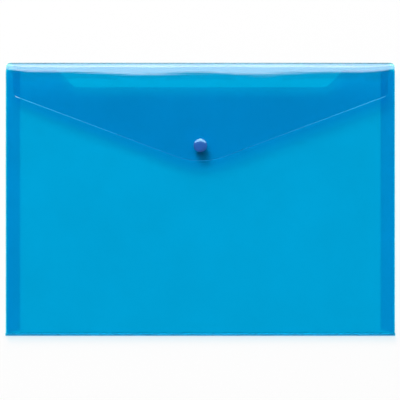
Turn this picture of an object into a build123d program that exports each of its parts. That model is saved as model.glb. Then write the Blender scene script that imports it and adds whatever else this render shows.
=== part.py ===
from build123d import *
from math import cos, radians, tan
import os

# Closed wallet lying on its back, in millimetres: +X across, +Y up to the top fold,
# +Z through the layers. The origin is the middle of its footprint.
wallet_width = 335.0
wallet_height = 235.0
sheet = 0.3                # thickness of the polypropylene sheet
pocket_gap = 5.4           # clear depth of the pocket
snap_gap = 3.0             # room between the front panel and the flap
corner_radius = 4.5        # plan radius at both ends of the top fold

# Side flanges: strips folded in from the front panel and welded to the back panel
flange_width = 12.0        # outer edge of the wallet to the free edge of the flange
flange_mitre = 2.0         # slant of the flange's lower end
corner_notch = 0.3         # slit between a side fold and the bottom fold

# Mouth cut into the upper edge of the front panel
shoulder_drop = 6.5        # top of the wallet down to the front panel's shoulders
mouth_depth = 14.6         # shoulders down to the middle of the mouth
mouth_width = 216.0        # along the bottom of the mouth
mouth_flare = 45.0         # slope of the mouth's ends, in degrees
mouth_radius = 5.0

# Top fold: a creased upright strip, then a bend that eases into the flap
crease_gap = 0.15          # thinned web of the crease
spine_height = 4.2
roll_reach = 13.4         # top of the wallet down to where the flap is flat
neck_start = 1.5           # straight end of the fold beside its rounded corner
neck_length = 3.5          # over which the flap narrows to its own width
neck_radius = 1.5

# Flap: narrower than the wallet, with a blunt point at the middle
flap_inset = 7.0           # side of the wallet to the side edge of the flap
flap_side_length = 19.2    # neck down to the side corner
flap_corner_radius = 5.0
flap_slope = 20.5          # fall of the lower edges, in degrees
tip_radius = 61.0

# Snap fastener: cap and socket clench the flap, stud and stud cap clench the front panel
snap_inset = 13.4          # tip of the flap up to the snap's axis
post_radius = 1.4
post_clearance = 0.05
cap_radius = 5.8
cap_rim = 0.7              # straight wall of the cap below its dome
cap_dome = 1.1
cap_edge_radius = 0.3
socket_radius = 5.2
socket_web = 0.7           # floor of the socket, against the flap
stud_radius = 5.2
stud_base = 0.8
ring_radius = 2.4          # ring on the stud that the socket grips
ring_wall = 0.5
ring_tip_gap = 0.2         # top of the ring to the clenched post above it
snap_clearance = 0.2       # socket bore round the ring
seat_gap = 0.1             # socket above the stud's base
clench_height = 0.3        # flattened end of a post
clench_clearance = 0.1     # flattened end inside the ring
stud_cap_radius = 5.5
stud_cap_height = 1.0
stud_cap_edge_radius = 0.3

# Levels of the layers, from the table up
front_under = sheet + pocket_gap
front_top = front_under + sheet
flap_under = front_top + snap_gap
flap_top = flap_under + sheet
spine_foot = sheet + crease_gap
spine_top = spine_foot + spine_height

# Plan positions
side_x = wallet_width / 2
top_y = wallet_height / 2
bottom_fold_radius = front_top / 2
bottom_fold_y = bottom_fold_radius - top_y
side_fold_radius = (front_top - sheet) / 2
side_fold_x = side_x - side_fold_radius
side_fold_foot = bottom_fold_y + corner_notch
shoulder_y = top_y - shoulder_drop
roll_rise = flap_top - spine_top
roll_y = top_y - roll_reach
neck_y = top_y - corner_radius - neck_start
flap_side_x = side_x - flap_inset
flap_side_top_y = neck_y - neck_length
flap_corner_y = flap_side_top_y - flap_side_length
flap_apex_y = flap_corner_y - flap_side_x * tan(radians(flap_slope))
tip_y = flap_apex_y + tip_radius * (1 / cos(radians(flap_slope)) - 1)
snap_y = tip_y + snap_inset

# Levels and radii inside the snap
hole_radius = post_radius + post_clearance
stud_base_top = front_top + stud_base
socket_foot = stud_base_top + seat_gap
socket_roof = flap_under - socket_web
clench_foot = socket_roof - clench_height
ring_top = clench_foot - ring_tip_gap
ring_bore = ring_radius - ring_wall
clench_radius = ring_bore - clench_clearance
socket_bore = ring_radius + snap_clearance


def post_hole(level):
    """Round hole for a snap post through a sheet whose underside is at this level."""
    return Pos(0, snap_y, level + sheet / 2) * Cylinder(hole_radius, sheet)


def half_ring(outer_radius, side):
    """Section of a half-round fold of the sheet, bulging to the given side."""
    ring = Circle(outer_radius) - Circle(outer_radius - sheet)
    return ring & Pos(side * outer_radius / 2, 0) * Rectangle(outer_radius, 2 * outer_radius)


def make_back_panel():
    corners = [(-side_x, bottom_fold_y), (side_x, bottom_fold_y), (side_x, top_y), (-side_x, top_y)]
    radii = [0, 0, corner_radius, corner_radius]
    return extrude(make_face(FilletPolyline(*corners, radius=radii, close=True)), sheet)


def make_front_panel():
    mouth_foot_y = shoulder_y - mouth_depth
    mouth_foot_x = mouth_width / 2
    mouth_top_x = mouth_foot_x + mouth_depth / tan(radians(mouth_flare))
    corners = [
        (-side_fold_x, bottom_fold_y),
        (side_fold_x, bottom_fold_y),
        (side_fold_x, shoulder_y),
        (mouth_top_x, shoulder_y),
        (mouth_foot_x, mouth_foot_y),
        (-mouth_foot_x, mouth_foot_y),
        (-mouth_top_x, shoulder_y),
        (-side_fold_x, shoulder_y),
    ]
    radii = [0, 0, 0, mouth_radius, mouth_radius, mouth_radius, mouth_radius, 0]
    outline = make_face(FilletPolyline(*corners, radius=radii, close=True))
    return Pos(0, 0, front_under) * extrude(outline, sheet) - post_hole(front_under)


def make_bottom_fold():
    section = Pos(bottom_fold_y, bottom_fold_radius) * half_ring(bottom_fold_radius, -1)
    return extrude(Plane.YZ * section, side_x, both=True)


def make_side_fold(side):
    section = Pos(side * side_fold_x, sheet + side_fold_radius) * half_ring(side_fold_radius, side)
    length = shoulder_y - side_fold_foot
    return Pos(0, shoulder_y, 0) * extrude(Plane.XZ * section, length)


def make_side_flange(side):
    fold_x = side * side_fold_x
    free_x = side * (side_x - flange_width)
    corners = [
        (fold_x, side_fold_foot),
        (free_x, side_fold_foot + flange_mitre),
        (free_x, shoulder_y),
        (fold_x, shoulder_y),
    ]
    return Pos(0, 0, sheet) * extrude(make_face(Polyline(*corners, close=True)), sheet)


def flap_outline():
    """Plan of the top fold and the flap together, from the top edge to the tip."""
    right = [
        (side_x, neck_y),
        (flap_side_x, flap_side_top_y),
        (flap_side_x, flap_corner_y),
    ]
    left = [(-x, y) for x, y in reversed(right)]
    corners = [(-side_x, top_y), (side_x, top_y), *right, (0, flap_apex_y), *left]
    right_radii = [neck_radius, neck_radius, flap_corner_radius]
    radii = [corner_radius, corner_radius, *right_radii, tip_radius, *reversed(right_radii)]
    return make_face(FilletPolyline(*corners, radius=radii, close=True))


def trim_to_plan(solid):
    """The solid cut to the plan of the top fold and flap."""
    return solid & extrude(flap_outline(), flap_top)


def make_top_spine():
    middle = Pos(0, top_y - sheet / 2, (spine_foot + spine_top) / 2)
    return trim_to_plan(middle * Box(wallet_width, sheet, spine_height))


def make_top_roll():
    ring = Ellipse(roll_reach, roll_rise) - Ellipse(roll_reach - sheet, roll_rise - sheet)
    quarter = ring & Pos(roll_reach / 2, roll_rise / 2) * Rectangle(roll_reach, roll_rise)
    section = Pos(roll_y, spine_top) * quarter
    return trim_to_plan(extrude(Plane.YZ * section, side_x, both=True))


def make_flap_panel():
    below_roll = Pos(0, roll_y) * Rectangle(wallet_width, wallet_height, align=(Align.CENTER, Align.MAX))
    panel = Pos(0, 0, flap_under) * extrude(flap_outline() & below_roll, sheet)
    return panel - post_hole(flap_under)


def turned(outline):
    """Snap moulding turned from a half section drawn as radius and height."""
    return Pos(0, snap_y, 0) * revolve(make_face(Plane.XZ * outline), Axis.Z)


def make_snap_cap():
    rim_top = flap_top + cap_rim
    crown = rim_top + cap_dome
    steps = [
        (0, crown),
        (0, clench_foot),
        (clench_radius, clench_foot),
        (clench_radius, socket_roof),
        (post_radius, socket_roof),
        (post_radius, flap_top),
        (cap_radius, flap_top),
        (cap_radius, rim_top),
    ]
    dome = TangentArc((0, crown), (cap_radius, rim_top), tangent=(1, 0))
    cap = turned(Polyline(*steps) + dome)
    above_wall = cap.edges().filter_by(GeomType.CIRCLE).filter_by_position(
        Axis.Z, rim_top - cap_rim / 2, rim_top + cap_dome / 2
    )
    return fillet(above_wall, cap_edge_radius)


def make_snap_socket():
    steps = [
        (hole_radius, flap_under),
        (hole_radius, socket_roof),
        (socket_bore, socket_roof),
        (socket_bore, socket_foot),
        (socket_radius, socket_foot),
        (socket_radius, flap_under),
    ]
    return turned(Polyline(*steps, close=True))


def make_snap_stud():
    steps = [
        (hole_radius, front_top),
        (stud_radius, front_top),
        (stud_radius, stud_base_top),
        (ring_radius, stud_base_top),
        (ring_radius, ring_top),
        (ring_bore, ring_top),
        (ring_bore, stud_base_top),
        (hole_radius, stud_base_top),
    ]
    return turned(Polyline(*steps, close=True))


def make_snap_stud_cap():
    cap_foot = front_under - stud_cap_height
    steps = [
        (0, cap_foot),
        (stud_cap_radius, cap_foot),
        (stud_cap_radius, front_under),
        (post_radius, front_under),
        (post_radius, stud_base_top),
        (clench_radius, stud_base_top),
        (clench_radius, stud_base_top + clench_height),
        (0, stud_base_top + clench_height),
    ]
    cap = turned(Polyline(*steps, close=True))
    return fillet(cap.edges().group_by(Axis.Z)[0], stud_cap_edge_radius)


pieces = {
    "back_panel": make_back_panel(),
    "front_panel": make_front_panel(),
    "bottom_fold": make_bottom_fold(),
    "top_spine": make_top_spine(),
    "top_roll": make_top_roll(),
    "flap_panel": make_flap_panel(),
    "snap_cap": make_snap_cap(),
    "snap_socket": make_snap_socket(),
    "snap_stud": make_snap_stud(),
    "snap_stud_cap": make_snap_stud_cap(),
}
for hand, side in (("left", -1), ("right", 1)):
    pieces[f"{hand}_side_fold"] = make_side_fold(side)
    pieces[f"{hand}_side_flange"] = make_side_flange(side)

os.makedirs("parts", exist_ok=True)
for name, solid in pieces.items():
    export_step(solid, f"parts/{name}.step")
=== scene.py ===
from math import cos, exp, hypot, pi, radians, sin, sqrt, tan

import bpy
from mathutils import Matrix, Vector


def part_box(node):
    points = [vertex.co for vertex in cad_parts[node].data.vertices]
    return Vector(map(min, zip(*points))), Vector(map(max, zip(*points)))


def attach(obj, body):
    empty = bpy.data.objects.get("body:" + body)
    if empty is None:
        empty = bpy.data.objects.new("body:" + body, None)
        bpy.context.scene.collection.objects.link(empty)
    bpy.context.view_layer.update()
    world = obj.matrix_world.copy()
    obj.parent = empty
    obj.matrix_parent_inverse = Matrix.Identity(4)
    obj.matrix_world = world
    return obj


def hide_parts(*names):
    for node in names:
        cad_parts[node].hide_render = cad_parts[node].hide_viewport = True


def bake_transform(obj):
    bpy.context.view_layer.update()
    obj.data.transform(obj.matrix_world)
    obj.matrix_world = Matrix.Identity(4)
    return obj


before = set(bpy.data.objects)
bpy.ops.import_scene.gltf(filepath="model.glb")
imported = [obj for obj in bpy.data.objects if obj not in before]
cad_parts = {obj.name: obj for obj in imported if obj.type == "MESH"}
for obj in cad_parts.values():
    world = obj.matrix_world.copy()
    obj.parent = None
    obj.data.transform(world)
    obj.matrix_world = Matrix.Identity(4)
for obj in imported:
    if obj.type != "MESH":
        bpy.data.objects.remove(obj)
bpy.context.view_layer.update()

# Pocket: back panel, bottom fold, front panel, side folds and side flanges, all of one creased sheet
# of translucent polypropylene. The flanges are welded flat to the back panel, and the back panel ends
# in the scored crease that carries the upright strip of the top fold.
back_low, back_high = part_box("back_panel")
front_low, front_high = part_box("front_panel")
flange_low, flange_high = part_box("right_side_flange")
spine_low, spine_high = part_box("top_spine")
cap_low, cap_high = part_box("snap_cap")

mm = 0.001
tiny = 0.02 * mm  # points closer than this are taken as being in the same place
merge_distance = 0.001 * mm
film_of_air = 0.05 * mm  # between faces that lie on each other
sheet = back_high.z - back_low.z
side_x = back_high.x
bottom_y = back_low.y
top_y = back_high.y - sheet / 2
back_z = (back_low.z + back_high.z) / 2
front_z = (front_low.z + front_high.z) / 2
bottom_fold_z = (back_z + front_z) / 2
fold_x = front_high.x
shoulder_y = front_high.y
flange_z = (flange_low.z + flange_high.z) / 2 + film_of_air
flange_x = flange_low.x
flange_columns = 3
flange_mitre = 2 * mm
corner_notch = 0.3 * mm
corner_height = 4.5 * mm
corner_width = 7 * mm
strip_joint_z = (spine_low.z + spine_high.z) / 2
crease_width = 0.25 * mm
crease_segments = 4
snap_y = (cap_low.y + cap_high.y) / 2
post_hole_radius = 1.45 * mm
mouth_depth = 14.6 * mm
mouth_foot_y = shoulder_y - mouth_depth
mouth_foot_x = 108 * mm
mouth_radius = 5 * mm
mouth_slope = radians(45)
panel_cell = 3 * mm
round_steps = 6
fold_steps = 12
sheet_smooth_angle = radians(40)


def start_piece(name):
    """Name the primitive just added and open it in edit mode, with all of it selected."""
    piece = bpy.context.object
    piece.name = name
    piece.data.name = name
    bpy.ops.object.mode_set(mode="EDIT")
    bpy.ops.mesh.select_mode(type="VERT")
    bpy.ops.mesh.select_all(action="SELECT")
    return piece


def pick(test):
    """Select the points of the piece in edit mode whose place passes the test."""
    bpy.ops.mesh.select_all(action="DESELECT")
    bpy.ops.object.mode_set(mode="OBJECT")
    for point in bpy.context.object.data.vertices:
        point.select = test(point.co)
    bpy.ops.object.mode_set(mode="EDIT")


def near(a, b):
    return abs(a - b) < tiny


def draw_out(x, y, z):
    """Extrude the selected edge by one step."""
    bpy.ops.mesh.extrude_region_move(TRANSFORM_OT_translate={"value": (x, y, z)})


def score(place, across):
    """Add an edge line right through the sheet, at a place and square to a direction."""
    bpy.ops.mesh.select_all(action="SELECT")
    bpy.ops.mesh.bisect(plane_co=place, plane_no=across)


def trim(place, outwards):
    """Cut away what lies beyond a place, in a direction."""
    bpy.ops.mesh.select_all(action="SELECT")
    bpy.ops.mesh.bisect(plane_co=place, plane_no=outwards, clear_outer=True)


def punch(level):
    """Punch the round hole for a snap post through the sheet that lies at this level."""
    score((0, snap_y, 0), (0, 1, 0))
    score((0, 0, 0), (1, 0, 0))
    pick(lambda p: near(p.x, 0) and near(p.y, snap_y) and near(p.z, level))
    bpy.ops.mesh.bevel(offset=post_hole_radius, segments=round_steps, affect="VERTICES")
    pick(lambda p: hypot(p.x, p.y - snap_y) < post_hole_radius + tiny and near(p.z, level))
    bpy.ops.mesh.delete(type="FACE")


def thicken(piece, finishes):
    """Give an open sheet its thickness; its inner face gets the finish listed after the outer face's."""
    for finish in finishes:
        piece.data.materials.append(finish)
    solidify = piece.modifiers.new("thickness", "SOLIDIFY")
    solidify.thickness = sheet
    solidify.offset = 0
    solidify.use_even_offset = True
    solidify.material_offset = 1
    bpy.ops.object.modifier_apply(modifier=solidify.name)
    bpy.ops.object.shade_smooth_by_angle(angle=sheet_smooth_angle)


def new_finish(name):
    """A fresh material, its node tree and its Principled shader."""
    finish = bpy.data.materials.new(name)
    finish.use_nodes = True
    return finish, finish.node_tree, finish.node_tree.nodes["Principled BSDF"]


def grain(tree, size, stretch=(1, 1, 1), detail=3):
    """Noise fixed to the piece, its grain this many metres across."""
    place = tree.nodes.new("ShaderNodeTexCoord")
    mapping = tree.nodes.new("ShaderNodeMapping")
    mapping.inputs["Scale"].default_value = stretch
    noise = tree.nodes.new("ShaderNodeTexNoise")
    noise.inputs["Scale"].default_value = 1 / size
    noise.inputs["Detail"].default_value = detail
    tree.links.new(place.outputs["Object"], mapping.inputs["Vector"])
    tree.links.new(mapping.outputs["Vector"], noise.inputs["Vector"])
    return noise.outputs["Fac"]


def spread(tree, value, low, high, ends=(0.3, 0.7)):
    """A value spread over a range, from its own ends; noise lies mostly between 0.3 and 0.7."""
    span = tree.nodes.new("ShaderNodeMapRange")
    span.inputs["From Min"].default_value = ends[0]
    span.inputs["From Max"].default_value = ends[1]
    span.inputs["To Min"].default_value = low
    span.inputs["To Max"].default_value = high
    tree.links.new(value, span.inputs["Value"])
    return span.outputs["Result"]


def between(tree, value, first, second):
    """Two colours mixed by a value."""
    mix = tree.nodes.new("ShaderNodeMix")
    mix.data_type = "RGBA"
    mix.inputs["A"].default_value = (*first, 1)
    mix.inputs["B"].default_value = (*second, 1)
    tree.links.new(value, mix.inputs["Factor"])
    return mix.outputs["Result"]


def relief(tree, value, depth, shader):
    """Bump from a value, this many metres deep, on top of any bump that the shader already has."""
    bump = tree.nodes.new("ShaderNodeBump")
    bump.inputs["Strength"].default_value = 1
    bump.inputs["Distance"].default_value = depth
    for link in shader.inputs["Normal"].links:
        tree.links.new(link.from_socket, bump.inputs["Normal"])
    tree.links.new(value, bump.inputs["Height"])
    tree.links.new(bump.outputs["Normal"], shader.inputs["Normal"])


cloud_size = 60 * mm
cloud_paler = 1.012
cloud_deeper = 0.988
rub_size = 8 * mm
skin_size = 0.8 * mm
skin_depth = 0.002 * mm
draw_line_width = 2.5 * mm
draw_line_stretch = (0.03, 1, 1)


def make_sheet_finish(name, tint, roughness, gloss, shade=(1, 1, 1), draw_lines=0):
    """See-through polypropylene: the tint is what is left of light after one layer.

    The gloss is the strength of its reflections, the shade scales the shadow that it throws, deeper below
    1 and paler above, and the draw lines are the depth of the ripples that run along a bend.
    """
    finish, tree, shader = new_finish(name)
    clouding = spread(tree, grain(tree, cloud_size), 0, 1)
    paler = [min(1, c * cloud_paler) for c in tint]
    deeper = [c * cloud_deeper for c in tint]
    tree.links.new(between(tree, clouding, deeper, paler), shader.inputs["Base Color"])
    tree.links.new(spread(tree, grain(tree, rub_size), *roughness), shader.inputs["Roughness"])
    relief(tree, grain(tree, skin_size, detail=2), skin_depth, shader)
    if draw_lines:
        relief(tree, grain(tree, draw_line_width, stretch=draw_line_stretch), draw_lines, shader)
    shader.inputs["Transmission Weight"].default_value = 0.99
    shader.inputs["IOR"].default_value = 1.49
    shader.inputs["Specular Tint"].default_value = (gloss, gloss, gloss, 1)
    path = tree.nodes.new("ShaderNodeLightPath")
    let_through = tree.nodes.new("ShaderNodeBsdfTransparent")
    let_through.inputs["Color"].default_value = (*[sqrt(c * d) for c, d in zip(tint, shade)], 1)
    surface = shader.outputs["BSDF"]
    for ray in ("Is Diffuse Ray", "Is Shadow Ray"):
        mix = tree.nodes.new("ShaderNodeMixShader")
        tree.links.new(path.outputs[ray], mix.inputs["Fac"])
        tree.links.new(surface, mix.inputs[1])
        tree.links.new(let_through.outputs["BSDF"], mix.inputs[2])
        surface = mix.outputs["Shader"]
    tree.links.new(surface, tree.nodes["Material Output"].inputs["Surface"])
    return finish


glossy = (0.07, 0.11)
matt = (0.10, 0.15)
outer_gloss = 1
inner_gloss = 0
bend_gloss = 3.35
# one sheet of polypropylene throughout: the back and flange tints differ from the front's only to set how
# dark those zones read, and the end-fold and upright-strip tints are deeper, as painted shade along the
# bends at the bottom and top edges
sheet_tint = (0.01, 0.812, 0.938)
welded_tint = (0.01, 0.835, 0.947)
back_tint = (0.01, 0.765, 0.918)
folded_shade_tint = (0.01, 0.66, 0.85)
strip_shade_tint = (0.01, 0.50, 0.66)
outer_finish = make_sheet_finish("glossy_polypropylene", sheet_tint, glossy, outer_gloss)
inner_finish = make_sheet_finish("matt_polypropylene", sheet_tint, matt, inner_gloss)
welded_finish = make_sheet_finish("welded_polypropylene", welded_tint, matt, inner_gloss)
back_outer_finish = make_sheet_finish("glossy_back_polypropylene", back_tint, glossy, outer_gloss)
back_inner_finish = make_sheet_finish("matt_back_polypropylene", back_tint, matt, inner_gloss)
end_fold_shaded_finish = make_sheet_finish("end_fold_shaded_polypropylene", folded_shade_tint, glossy, bend_gloss)
strip_shaded_finish = make_sheet_finish("upright_shaded_polypropylene", strip_shade_tint, glossy, bend_gloss)

# the back panel, with its two upper corners rounded
bpy.ops.object.select_all(action="DESELECT")
bpy.ops.mesh.primitive_grid_add(
    x_subdivisions=2 * round(side_x / panel_cell),
    y_subdivisions=round((top_y - bottom_y) / panel_cell),
    size=1,
)
pocket = start_piece("pocket_sheet")
bpy.ops.transform.resize(value=(2 * side_x, top_y - bottom_y, 1))
bpy.ops.transform.translate(value=(0, (top_y + bottom_y) / 2, back_z))
mouth_tangent = mouth_radius * tan(mouth_slope / 2)
for side in (-1, 1):
    for step in range(round_steps):
        turn = radians(90) * (step + 0.5) / round_steps
        reach = hypot(corner_width * sin(turn), corner_height * cos(turn))
        x = side_x - corner_width + corner_width ** 2 * sin(turn) / reach
        y = back_high.y - corner_height + corner_height ** 2 * cos(turn) / reach
        trim((side * x, y, 0), (side * sin(turn), cos(turn), 0))
    score((side * fold_x, 0, 0), (1, 0, 0))
    score((side * (mouth_foot_x - mouth_tangent), 0, 0), (1, 0, 0))

# the crease at the top, and the lower half of the upright strip
pick(lambda p: near(p.y, top_y))
draw_out(0, 0, strip_joint_z - film_of_air / 2 - back_z)
pick(lambda p: near(p.y, top_y) and near(p.z, back_z))
bpy.ops.mesh.bevel(offset=crease_width, segments=crease_segments, affect="EDGES")

# the bottom fold, half round
pick(lambda p: near(p.y, bottom_y))
bpy.ops.mesh.spin(steps=fold_steps, angle=pi, center=(0, bottom_y, bottom_fold_z), axis=(1, 0, 0))

# the front panel up to the foot of the mouth, then its shoulders on both sides of the mouth
pick(lambda p: near(p.z, front_z) and abs(p.x) < fold_x + tiny)
rows = round((mouth_foot_y - bottom_y) / panel_cell)
for row in range(rows):
    draw_out(0, (mouth_foot_y - bottom_y) / rows, 0)

mouth_top_x = mouth_foot_x + (shoulder_y - mouth_foot_y) / tan(mouth_slope)
mouth_rows = []
for step in range(1, round_steps + 1):
    turn = mouth_slope * step / round_steps
    inner_x = mouth_foot_x - mouth_tangent + mouth_radius * sin(turn)
    mouth_rows.append((inner_x, mouth_foot_y + mouth_radius * (1 - cos(turn))))
for step in range(round_steps, -1, -1):
    turn = mouth_slope * step / round_steps
    inner_x = mouth_top_x + mouth_tangent - mouth_radius * sin(turn)
    mouth_rows.append((inner_x, shoulder_y - mouth_radius * (1 - cos(turn))))
for side in (-1, 1):
    inner_x = mouth_foot_x - mouth_tangent
    y = mouth_foot_y
    pick(lambda p: near(p.y, y) and near(p.z, front_z) and side * p.x > inner_x - tiny)
    for next_x, next_y in mouth_rows:
        draw_out(0, next_y - y, 0)
        narrowing = (fold_x - next_x) / (fold_x - inner_x)
        pivot = (side * fold_x, next_y, front_z)
        bpy.ops.transform.resize(value=(narrowing, 1, 1), center_override=pivot)
        inner_x = next_x
        y = next_y
punch(front_z)

# the side folds, half round, and the flanges turned in below them
fold_z = (front_z + flange_z) / 2
flange_step = (fold_x - flange_x) / flange_columns
for side in (-1, 1):
    pick(lambda p: near(p.x, side * fold_x) and near(p.z, front_z))
    pivot = (side * fold_x, 0, fold_z)
    bpy.ops.mesh.spin(steps=fold_steps, angle=-side * pi, center=pivot, axis=(0, 1, 0))
    pick(lambda p: near(p.x, side * fold_x) and near(p.z, flange_z))
    for step in range(flange_columns):
        draw_out(-side * flange_step, 0, 0)
pick(lambda p: near(p.y, bottom_y) and flange_z - tiny < p.z < front_z - tiny)
bpy.ops.transform.translate(value=(0, corner_notch, 0))
flange_foot_y = bottom_y + corner_notch
for step in range(1, flange_columns + 1):
    column = fold_x - step * flange_step
    pick(lambda p: near(abs(p.x), column) and near(p.z, flange_z) and near(p.y, flange_foot_y))
    bpy.ops.transform.translate(value=(0, flange_mitre * step / flange_columns, 0))
bpy.ops.mesh.select_all(action="SELECT")
bpy.ops.mesh.remove_doubles(threshold=merge_distance)
bpy.ops.mesh.normals_make_consistent(inside=False)
bpy.ops.object.mode_set(mode="OBJECT")

# the front panel lies in slack waves between its folds, and flat where the snap holds it
snap_hold = 8 * mm
snap_free = 45 * mm
front_wave = 0.22 * mm
front_hold = 30 * mm
front_swell_across = 47 * mm
front_swell_along = 39 * mm
front_shift_across = 0.8
front_shift_along = -0.4
front_ripple = 23 * mm
front_ripple_share = 0.5


def ease(value, start, end):
    """0 at start, 1 at end, eased between."""
    t = min(1, max(0, (value - start) / (end - start)))
    return t * t * (3 - 2 * t)


def beside_snap(x, y):
    """0 where the snap holds the sheet, 1 well away from it."""
    return ease(hypot(x, y - snap_y), snap_hold, snap_free)


for point in pocket.data.vertices:
    x, y, z = point.co
    if z > front_z - tiny and abs(x) < fold_x - tiny:
        beside_folds = ease(fold_x - abs(x), 0, front_hold) * ease(y - bottom_y, 0, front_hold)
        swell_across = sin(x / front_swell_across + front_shift_across)
        swell_along = cos(y / front_swell_along + front_shift_along)
        wave = swell_across * swell_along + front_ripple_share * sin((x + y) / front_ripple)
        point.co.z += front_wave * beside_folds * beside_snap(x, y) * wave

facing_out = 0.1  # least share of +Y in the normal of a face that shows at the top edge
pocket_finishes = [
    outer_finish,
    inner_finish,
    back_outer_finish,
    back_inner_finish,
    welded_finish,
    end_fold_shaded_finish,
    strip_shaded_finish,
]


def dress(face, finishes, finish):
    """Give a face one of the finishes of its piece."""
    face.material_index = finishes.index(finish)


for face in pocket.data.polygons:
    on_back = abs(face.center.z - back_z) < tiny
    dress(face, pocket_finishes, back_outer_finish if on_back else outer_finish)
thicken(pocket, pocket_finishes)
for face in pocket.data.polygons:
    x, y, z = face.center
    # the bottom fold and the outward face of the upright strip take the deeper tints of painted shade
    if y < bottom_y:
        dress(face, pocket_finishes, end_fold_shaded_finish)
    elif y > top_y - crease_width:
        dress(face, pocket_finishes, strip_shaded_finish if face.normal.y > facing_out else inner_finish)
    elif abs(x) > fold_x and z > back_high.z + tiny:
        dress(face, pocket_finishes, inner_finish)
    elif abs(x) > flange_x and abs(z - flange_z) < sheet / 2 + tiny:
        dress(face, pocket_finishes, welded_finish)
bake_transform(pocket)
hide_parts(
    "back_panel",
    "bottom_fold",
    "front_panel",
    "left_side_fold",
    "right_side_fold",
    "left_side_flange",
    "right_side_flange",
)

# Flap: the other end of the same sheet of polypropylene, die-cut to a blunt point at the snap. It rises
# from the upright strip, bends over in a soft roll and lies over the mouth, narrower than the pocket,
# with rounded corners.
roll_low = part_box("top_roll")[0]
flap_low, flap_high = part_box("flap_panel")

flap_z = (flap_low.z + flap_high.z) / 2
flap_x = flap_high.x
tip_y = flap_low.y
roll_y = flap_high.y
roll_reach = top_y - roll_y
roll_foot_z = roll_low.z
roll_rise = flap_z - roll_foot_z
roll_rows = 26
roll_narrowing = 1.1 * mm  # at each side, below the rounded top corners
neck_start = 1.5 * mm
neck_length = 3.5 * mm
neck_ease = 0.3 * mm
neck_top_y = back_high.y - corner_height - neck_start
neck_foot_y = neck_top_y - neck_length
flap_side_length = 19.2 * mm
flap_corner_y = neck_foot_y - flap_side_length
flap_corner_radius = 5 * mm
flap_slope = radians(20.5)
tip_radius = 61 * mm
flap_cell = 2.5 * mm
edge_width = 0.5 * mm

# straight and round stretches of the lower outline, each as a point on it and its outward direction
lower_edge = []
for side in (-1, 1):
    lower_edge.append(((side * flap_x, 0), (side, 0)))
    corner_turn = pi / 2 - flap_slope
    corner_inset = flap_corner_radius * tan(corner_turn / 2)
    corner_centre = (side * (flap_x - flap_corner_radius), flap_corner_y + corner_inset)
    for step in range(round_steps):
        turn = corner_turn * (step + 0.5) / round_steps
        outwards = (side * cos(turn), -sin(turn))
        on_corner = [c + flap_corner_radius * o for c, o in zip(corner_centre, outwards)]
        lower_edge.append((on_corner, outwards))
    lower_edge.append(((side * flap_x, flap_corner_y), (side * sin(flap_slope), -cos(flap_slope))))
    for step in range(round_steps):
        turn = side * flap_slope * (step + 0.5) / round_steps
        outwards = (sin(turn), -cos(turn))
        on_tip = (tip_radius * outwards[0], tip_y + tip_radius * (1 + outwards[1]))
        lower_edge.append((on_tip, outwards))


def beyond_edge(x, y):
    """How far a place lies outside the lower outline; negative inside it."""
    return max((x - p[0]) * o[0] + (y - p[1]) * o[1] for p, o in lower_edge)


def half_width(y):
    """Half the sheet's width at a height on the top fold: rounded top corners, then the neck."""
    corner_y = back_high.y - corner_height
    roll_x = side_x - roll_narrowing * ease(back_high.y - y, 0, corner_height)
    if y > corner_y:
        return roll_x - corner_width * (1 - sqrt(max(0, 1 - ((y - corner_y) / corner_height) ** 2)))
    return flap_x + (roll_x - flap_x) * ease(y, neck_foot_y - neck_ease, neck_top_y + neck_ease)


bpy.ops.object.select_all(action="DESELECT")
bpy.ops.mesh.primitive_grid_add(
    x_subdivisions=2 * round(flap_x / flap_cell),
    y_subdivisions=round((roll_y - tip_y) / flap_cell),
    size=1,
)
flap = start_piece("flap_sheet")
bpy.ops.transform.resize(value=(2 * flap_x, roll_y - tip_y, 1))
bpy.ops.transform.translate(value=(0, (roll_y + tip_y) / 2, flap_z))
for place, outwards in lower_edge:
    inside = [p - edge_width * o for p, o in zip(place, outwards)]
    score((*inside, 0), (*outwards, 0))
    trim((*place, 0), (*outwards, 0))
punch(flap_z)

# the roll, row by row from the flap up and over, then the upper half of the upright strip
pick(lambda p: near(p.y, roll_y))
y, z, width = roll_y, flap_z, flap_x
for row in range(1, roll_rows + 1):
    turn = radians(90) * (1 - row / roll_rows)
    next_y = roll_y + roll_reach * cos(turn)
    next_z = roll_foot_z + roll_rise * sin(turn)
    draw_out(0, next_y - y, next_z - z)
    next_width = half_width(next_y)
    pivot = (0, next_y, next_z)
    bpy.ops.transform.resize(value=(next_width / width, 1, 1), center_override=pivot)
    y, z, width = next_y, next_z, next_width
draw_out(0, 0, strip_joint_z + film_of_air / 2 - z)
bpy.ops.mesh.select_all(action="SELECT")
bpy.ops.mesh.normals_make_consistent(inside=False)
bpy.ops.object.mode_set(mode="OBJECT")

# the roll reaches furthest down at two slack places beside the middle and draws up at its ends, and the
# flap lies in slack waves below it
slack_places = (-50 * mm, 50 * mm)
slack_width = 30 * mm
slack_reach = 3.2 * mm
slack_mean = 2.35 * mm
slack_fade = 16 * mm
end_start = 110 * mm
end_length = 58 * mm
end_rise = 7.2 * mm
end_power = 3.2
flap_wave = 0.25 * mm
flap_hold = 25 * mm
flap_swell_across = 38 * mm
flap_swell_along = 31 * mm
flap_shift_across = -0.6
flap_ripple = 17 * mm
flap_ripple_share = 0.4


def roll_slack(x):
    """How much further down the flap the roll reaches than its plain form, at a place across."""
    slack = sum(exp(-((x - place) / slack_width) ** 2) for place in slack_places)
    end = max(0, abs(x) - end_start) / end_length
    return slack_reach * slack - slack_mean - end_rise * end ** end_power


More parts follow.
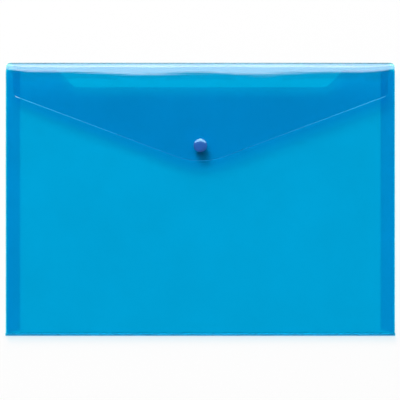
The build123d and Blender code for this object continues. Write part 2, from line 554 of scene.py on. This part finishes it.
for point in flap.data.vertices:
    x, y, z = point.co
    if y > roll_y:
        share = (top_y - y) / roll_reach
    else:
        share = ease(y, roll_y - slack_fade, roll_y)
    point.co.y -= roll_slack(x) * share
    point.co.x *= half_width(point.co.y) / half_width(y)
    if z > flap_z - tiny:
        hold = ease(roll_y - y, 0, flap_hold) * beside_snap(x, y)
        swell = sin(x / flap_swell_across + flap_shift_across) * cos(y / flap_swell_along)
        wave = swell + flap_ripple_share * sin((x - y) / flap_ripple)
        point.co.z += flap_wave * hold * wave

# painted highlight on the cut edge, brightest at its ends and fading into the sheet towards the tip, with
# a painted glint at the left corner
painted_corner_glint = (0.40, 0.85, 1)
painted_edge_highlight = (0.045, 0.54, 0.90)
painted_edge_highlight_dim = (0.002, 0.235, 0.56)
painted_edge_stops = [
    (-157 * mm, painted_corner_glint),
    (-154.5 * mm, painted_edge_highlight),
    (-45 * mm, painted_edge_highlight_dim),
    (55 * mm, painted_edge_highlight_dim),
]


def make_painted_edge_finish():
    """Die-cut edge of the sheet, painted with a highlight where light that runs inside the sheet would
    come out.
    """
    finish, tree, shader = new_finish("cut_edge_painted_highlight")
    place = tree.nodes.new("ShaderNodeTexCoord")
    across = tree.nodes.new("ShaderNodeSeparateXYZ")
    tree.links.new(place.outputs["Object"], across.inputs["Vector"])
    painted_edge_ramp = tree.nodes.new("ShaderNodeValToRGB")
    along_edge = spread(tree, across.outputs["X"], 0, 1, ends=(-flap_x, flap_x))
    tree.links.new(along_edge, painted_edge_ramp.inputs["Fac"])
    stops = painted_edge_ramp.color_ramp.elements
    # the left end of the ramp is the painted glint at the corner
    stops[0].color = (*painted_corner_glint, 1)
    stops[1].color = (*painted_edge_highlight, 1)
    for x, colour in painted_edge_stops:
        stops.new((x + flap_x) / (2 * flap_x)).color = (*colour, 1)
    tree.links.new(painted_edge_ramp.outputs["Color"], shader.inputs["Base Color"])
    shader.inputs["Roughness"].default_value = 0.5
    shader.inputs["Specular IOR Level"].default_value = 0.2
    return finish


# the roll is the same sheet, paler than the front panel; its shade lets more blue and less green through
# to the mouth below than its tint does, a painted lightening of the mouth in blue
roll_tint = (0.01, 0.88, 0.975)
roll_shade = (1, 0.95, 1.02)
roll_inner_gloss = 0.5
roll_ripples = 0.15 * mm
roll_finish = make_sheet_finish(
    "bent_polypropylene", roll_tint, glossy, bend_gloss, roll_shade, roll_ripples
)
roll_inner_finish = make_sheet_finish(
    "bent_inner_polypropylene", roll_tint, matt, roll_inner_gloss, roll_shade
)
flap_tint = (0.01, 0.88, 0.955)
flap_shade = (1, 0.775, 0.915)
flap_outer_finish = make_sheet_finish(
    "glossy_flap_polypropylene", flap_tint, glossy, outer_gloss, flap_shade
)
flap_inner_finish = make_sheet_finish(
    "matt_flap_polypropylene", flap_tint, matt, inner_gloss, flap_shade
)
painted_edge_finish = make_painted_edge_finish()

roll_overlap = 1 * mm  # of the roll's finish onto the flap
strip_band = 1.4 * mm  # down from the top edge, as seen from above
edge_end = 2 * mm  # from the flap's side to where the painted highlight of the cut edge ends
flap_finishes = [
    roll_finish,
    roll_inner_finish,
    flap_outer_finish,
    flap_inner_finish,
    painted_edge_finish,
    strip_shaded_finish,
]
for face in flap.data.polygons:
    on_flap = face.center.y < roll_y - roll_overlap
    dress(face, flap_finishes, flap_outer_finish if on_flap else roll_finish)
thicken(flap, flap_finishes)
for face in flap.data.polygons:
    x, y, z = face.center
    # the outward face of the upright strip takes the deeper tint of painted shade
    if y > top_y - strip_band:
        dress(face, flap_finishes, strip_shaded_finish if face.normal.y > facing_out else roll_inner_finish)
    if abs(x) < flap_x - edge_end and y < roll_y and beyond_edge(x, y) > -edge_width:
        dress(face, flap_finishes, painted_edge_finish)
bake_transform(flap)
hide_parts("top_spine", "top_roll", "flap_panel")

# Snap: four turned mouldings of harder, darker plastic. Cap and socket are clenched through the flap,
# stud and stud cap through the front panel, and the socket grips the ring of the stud.
socket_low, socket_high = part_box("snap_socket")
stud_low, stud_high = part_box("snap_stud")
stud_cap_low, stud_cap_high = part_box("snap_stud_cap")

points_around = 96
pole_radius = 0.2 * mm  # of the small flat at the middle of a domed or flat face
moulding_smooth_angle = radians(35)
post_radius = 1.4 * mm
clench_radius = 1.8 * mm
clench_inset = 0.2 * mm
clench_bevel = 0.1 * mm
clench_gap = 0.02 * mm  # between a clenched head and the face that it holds


def radius_of(low, high):
    return (high.x - low.x) / 2


def turn_piece(name, section, closed):
    """Turn a moulding about the snap's axis from its half section, ring by ring."""
    bpy.ops.object.select_all(action="DESELECT")
    radius, z = section[0]
    bpy.ops.mesh.primitive_circle_add(vertices=points_around, radius=radius, fill_type="NOTHING")
    piece = start_piece(name)
    bpy.ops.transform.translate(value=(0, snap_y, z))
    for next_radius, next_z in section[1:]:
        draw_out(0, 0, next_z - z)
        size = next_radius / radius
        bpy.ops.transform.resize(value=(size, size, 1), center_override=(0, snap_y, next_z))
        radius, z = next_radius, next_z
    if closed:
        bpy.ops.mesh.select_all(action="SELECT")
        bpy.ops.mesh.remove_doubles(threshold=merge_distance)
    else:
        for end_radius, end_z in (section[0], section[-1]):
            pick(lambda p: near(p.z, end_z) and near(hypot(p.x, p.y - snap_y), end_radius))
            bpy.ops.mesh.edge_face_add()
    bpy.ops.mesh.select_all(action="SELECT")
    bpy.ops.mesh.normals_make_consistent(inside=False)
    bpy.ops.object.mode_set(mode="OBJECT")
    bpy.ops.object.shade_smooth_by_angle(angle=moulding_smooth_angle)
    return piece


# the cap on the flap, a flat dome with a rounded shoulder, and its post
cap_radius = radius_of(cap_low, cap_high)
cap_foot_inset = 0.15 * mm
cap_foot_bevel = 0.2 * mm
dome_rise = 0.76 * mm
dome_power = 3.3
dome_rings = 20
dome_inset = 0.25 * mm
shoulder_inset = 0.08 * mm
shoulder_bevel = 0.2 * mm
dome_foot_z = cap_high.z - dome_rise
dome_edge = cap_radius - dome_inset
dome = []
for ring in range(dome_rings):
    radius = dome_edge * (1 - ring / dome_rings)
    dome.append((radius, cap_high.z - dome_rise * (radius / cap_radius) ** dome_power))
socket_web = 0.7 * mm
socket_roof_z = socket_high.z - socket_web
cap_section = [
    (clench_radius - clench_inset, cap_low.z),
    (clench_radius, cap_low.z + clench_bevel),
    (clench_radius, socket_roof_z - clench_gap),
    (post_radius, socket_roof_z - clench_gap),
    (post_radius, flap_high.z + film_of_air),
    (cap_radius - cap_foot_inset, flap_high.z + film_of_air),
    (cap_radius, flap_high.z + cap_foot_bevel),
    (cap_radius, dome_foot_z - shoulder_bevel),
    (cap_radius - shoulder_inset, dome_foot_z),
    *dome,
    (pole_radius, cap_high.z),
]
snap_cap = turn_piece("snap_cap_moulding", cap_section, closed=False)

# the socket under the flap
socket_radius = radius_of(socket_low, socket_high)
socket_bore = 2.6 * mm
socket_bore_bevel = 0.2 * mm
socket_bevel = 0.3 * mm
socket_top_inset = 0.25 * mm
socket_section = [
    (post_hole_radius, socket_high.z - film_of_air),
    (post_hole_radius, socket_roof_z),
    (socket_bore, socket_roof_z),
    (socket_bore, socket_low.z + socket_bore_bevel),
    (socket_bore + socket_bore_bevel, socket_low.z),
    (socket_radius - socket_bevel, socket_low.z),
    (socket_radius, socket_low.z + socket_bevel),
    (socket_radius, socket_high.z - socket_bevel),
    (socket_radius - socket_top_inset, socket_high.z - film_of_air),
    (post_hole_radius, socket_high.z - film_of_air),
]
snap_socket = turn_piece("snap_socket_moulding", socket_section, closed=True)

# the stud on the front panel, with its ring
stud_radius = radius_of(stud_low, stud_high)
stud_base = 0.8 * mm
stud_base_z = stud_low.z + stud_base
stud_foot_inset = 0.2 * mm
stud_bevel = 0.25 * mm
ring_radius = 2.4 * mm
ring_foot_flare = 0.15 * mm
ring_waist = 0.05 * mm
ring_waist_height = 0.2 * mm
ring_tip_inset = 0.15 * mm
ring_tip_height = 0.35 * mm
ring_bore = 1.9 * mm
ring_bore_inset = 0.1 * mm
ring_bore_bevel = 0.15 * mm
stud_section = [
    (post_hole_radius, stud_low.z + film_of_air),
    (stud_radius - stud_foot_inset, stud_low.z + film_of_air),
    (stud_radius, stud_low.z + stud_bevel),
    (stud_radius, stud_base_z - stud_bevel),
    (stud_radius - stud_bevel, stud_base_z),
    (ring_radius + ring_foot_flare, stud_base_z),
    (ring_radius - ring_waist, stud_base_z + ring_waist_height),
    (ring_radius, stud_high.z - ring_tip_height),
    (ring_radius - ring_tip_inset, stud_high.z),
    (ring_bore + ring_bore_inset, stud_high.z),
    (ring_bore, stud_high.z - ring_bore_bevel),
    (ring_bore, stud_base_z),
    (post_hole_radius, stud_base_z),
    (post_hole_radius, stud_low.z + film_of_air),
]
snap_stud = turn_piece("snap_stud_moulding", stud_section, closed=True)

# the stud cap inside the pocket, whose post holds the stud
stud_cap_radius = radius_of(stud_cap_low, stud_cap_high)
stud_cap_round = 0.3 * mm
stud_cap_round_middle = 0.09 * mm
stud_cap_section = [
    (pole_radius, stud_cap_low.z),
    (stud_cap_radius - stud_cap_round, stud_cap_low.z),
    (stud_cap_radius - stud_cap_round_middle, stud_cap_low.z + stud_cap_round_middle),
    (stud_cap_radius, stud_cap_low.z + stud_cap_round),
    (stud_cap_radius, front_low.z - film_of_air),
    (post_radius, front_low.z - film_of_air),
    (post_radius, stud_base_z + clench_gap),
    (clench_radius, stud_base_z + clench_gap),
    (clench_radius, stud_cap_high.z - clench_bevel),
    (clench_radius - clench_inset, stud_cap_high.z),
]
snap_stud_cap = turn_piece("snap_stud_cap_moulding", stud_cap_section, closed=False)

snap_deep = (0.027, 0.137, 0.520)
snap_pale = (0.031, 0.156, 0.570)
snap_sheen = (0.43, 0.82, 0.95)
snap_polish = (0.12, 0.20)
swirl_size = 3 * mm
scuff_size = 0.7 * mm
pit_size = 0.35 * mm
pit_depth = 0.003 * mm


def make_snap_finish():
    """Moulded plastic, glossy, with the faint swirl and scuffs of a handled snap."""
    finish, tree, shader = new_finish("snap_plastic")
    swirl = spread(tree, grain(tree, swirl_size), 0, 1)
    tree.links.new(between(tree, swirl, snap_deep, snap_pale), shader.inputs["Base Color"])
    scuffs = spread(tree, grain(tree, scuff_size, detail=5), *snap_polish)
    tree.links.new(scuffs, shader.inputs["Roughness"])
    relief(tree, grain(tree, pit_size), pit_depth, shader)
    shader.inputs["IOR"].default_value = 2.02
    shader.inputs["Specular IOR Level"].default_value = 1
    shader.inputs["Specular Tint"].default_value = (*snap_sheen, 1)
    return finish


snap_finish = make_snap_finish()
for moulding, body, node in (
    (snap_cap, "flap", "snap_cap"),
    (snap_socket, "flap", "snap_socket"),
    (snap_stud, "pocket", "snap_stud"),
    (snap_stud_cap, "pocket", "snap_stud_cap"),
):
    moulding.data.materials.append(snap_finish)
    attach(moulding, body)
    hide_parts(node)

# the socket and the stud throw the snap's shadow; the cap above them would only draw it out
snap_cap.visible_shadow = False

# Studio: a matt white table, four soft boxes beyond the wallet's top edge that give the highlights along
# the bend and on the cap, a key lamp from the upper left that throws the shadows, and a room that is dim
# overhead and paler at the horizon.
scene = bpy.context.scene
table_size = 12
table_deep = (0.955, 0.955, 0.955)
table_pale = (0.97, 0.97, 0.97)
mottle_size = 400 * mm
bpy.ops.object.select_all(action="DESELECT")
bpy.ops.mesh.primitive_plane_add(size=table_size, location=(0, 0, -film_of_air))
floor = bpy.context.object
floor.name = "floor"
floor_finish, floor_tree, floor_shader = new_finish("white_table")
mottle = spread(floor_tree, grain(floor_tree, mottle_size), 0, 1)
floor_colour = between(floor_tree, mottle, table_deep, table_pale)
floor_tree.links.new(floor_colour, floor_shader.inputs["Base Color"])
floor_shader.inputs["Roughness"].default_value = 1
floor_shader.inputs["Specular IOR Level"].default_value = 0


def combine(tree, operation, first, second):
    """The larger or the smaller of two values, or what else the operation makes of them."""
    result = tree.nodes.new("ShaderNodeMath")
    result.operation = operation
    tree.links.new(first, result.inputs[0])
    tree.links.new(second, result.inputs[1])
    return result.outputs["Value"]


# the white of the background, seen directly, in reflections and through the sheet; close to the wallet
# reflections and the sheet show the floor as it is lit, so that it keeps the wallet's shadow
white_share = 0.75
wallet_reach = hypot(side_x, back_high.y)
clear_reach = 1.25 * wallet_reach
ray = floor_tree.nodes.new("ShaderNodeLightPath").outputs
floor_place = floor_tree.nodes.new("ShaderNodeTexCoord")
from_wallet = floor_tree.nodes.new("ShaderNodeVectorMath")
from_wallet.operation = "LENGTH"
floor_tree.links.new(floor_place.outputs["Object"], from_wallet.inputs[0])
distance = from_wallet.outputs["Value"]
clear_of_wallet = spread(floor_tree, distance, 0, 1, ends=(wallet_reach, clear_reach))
not_direct = combine(floor_tree, "MAXIMUM", ray["Is Glossy Ray"], ray["Is Transmission Ray"])
seen_beyond = combine(floor_tree, "MINIMUM", not_direct, clear_of_wallet)
seen = combine(floor_tree, "MAXIMUM", ray["Is Camera Ray"], seen_beyond)
floor_share = spread(floor_tree, seen, 0, white_share, ends=(0, 1))
paper_white = floor_tree.nodes.new("ShaderNodeEmission")
floor_mix = floor_tree.nodes.new("ShaderNodeMixShader")
floor_tree.links.new(floor_share, floor_mix.inputs["Fac"])
floor_tree.links.new(floor_shader.outputs["BSDF"], floor_mix.inputs[1])
floor_tree.links.new(paper_white.outputs["Emission"], floor_mix.inputs[2])
floor_surface = floor_tree.nodes["Material Output"].inputs["Surface"]
floor_tree.links.new(floor_mix.outputs["Shader"], floor_surface)
floor.data.materials.append(floor_finish)

# all angles in degrees, as seen from the wallet: zenith is down from overhead, turn is to the left; the
# key lamp is kept out of reflections and out of the view through the sheet
lamp_distance = 8
lamps = {
    "crown_soft_box": {"zenith": 17, "turn": 0, "length": 4, "half_width": 10, "radiance": 1.0},
    "wide_soft_box": {"zenith": 30.5, "turn": 0, "length": 23, "half_width": 38, "radiance": 2.7},
    "middle_soft_box": {"zenith": 51, "turn": 0, "length": 18, "half_width": 9.5, "radiance": 4.8},
    "low_soft_box": {"zenith": 74, "turn": 0, "length": 28, "half_width": 9, "radiance": 3.1},
    "key_lamp": {"zenith": 54, "turn": 20, "length": 20, "half_width": 10, "radiance": 20.5},
}
for name, box in lamps.items():
    zenith = radians(box["zenith"])
    turn = radians(box["turn"])
    reach = lamp_distance * sin(zenith)
    place = (-reach * sin(turn), reach * cos(turn), lamp_distance * cos(zenith))
    bpy.ops.object.light_add(type="AREA", location=place, rotation=(-zenith, 0, turn))
    lamp = bpy.context.object
    lamp.name = name
    lamp.data.shape = "RECTANGLE"
    lamp.data.size = 2 * lamp_distance * tan(radians(box["half_width"]))
    lamp.data.size_y = 2 * lamp_distance * tan(radians(box["length"] / 2))
    lamp.data.energy = box["radiance"] * pi * lamp.data.size * lamp.data.size_y
    lamp.visible_camera = False
    lamp.visible_glossy = name != "key_lamp"
    lamp.visible_transmission = name != "key_lamp"

horizon_grey = (0.18, 0.18, 0.18)
overhead_black = (0, 0, 0)
room = bpy.data.worlds.new("room")
scene.world = room
room.use_nodes = True
room_tree = room.node_tree
direction = room_tree.nodes.new("ShaderNodeTexCoord")
heights = room_tree.nodes.new("ShaderNodeSeparateXYZ")
room_tree.links.new(direction.outputs["Generated"], heights.inputs["Vector"])
upwards = spread(room_tree, heights.outputs["Z"], 0, 1, ends=(0, 1))
room_colour = between(room_tree, upwards, horizon_grey, overhead_black)
room_tree.links.new(room_colour, room_tree.nodes["Background"].inputs["Color"])

# Camera: straight above the closed wallet and nearly over its middle. The bounces are enough for light
# to pass all the layers of the sheet.
camera_height = 1.2
camera_x = -0.30 * mm
camera_y = -0.43 * mm
frame_width = 344.2 * mm  # of what lies half as high as the pocket
sensor_width = 36
light_bounces = 32
bpy.ops.object.camera_add(location=(camera_x, camera_y, camera_height))
camera = bpy.context.object
camera.name = "camera"
camera.data.sensor_width = sensor_width
camera.data.lens = sensor_width * (camera_height - bottom_fold_z) / frame_width
scene.camera = camera
scene.view_settings.view_transform = "Standard"
scene.cycles.max_bounces = light_bounces
scene.cycles.transmission_bounces = light_bounces
scene.cycles.transparent_max_bounces = light_bounces
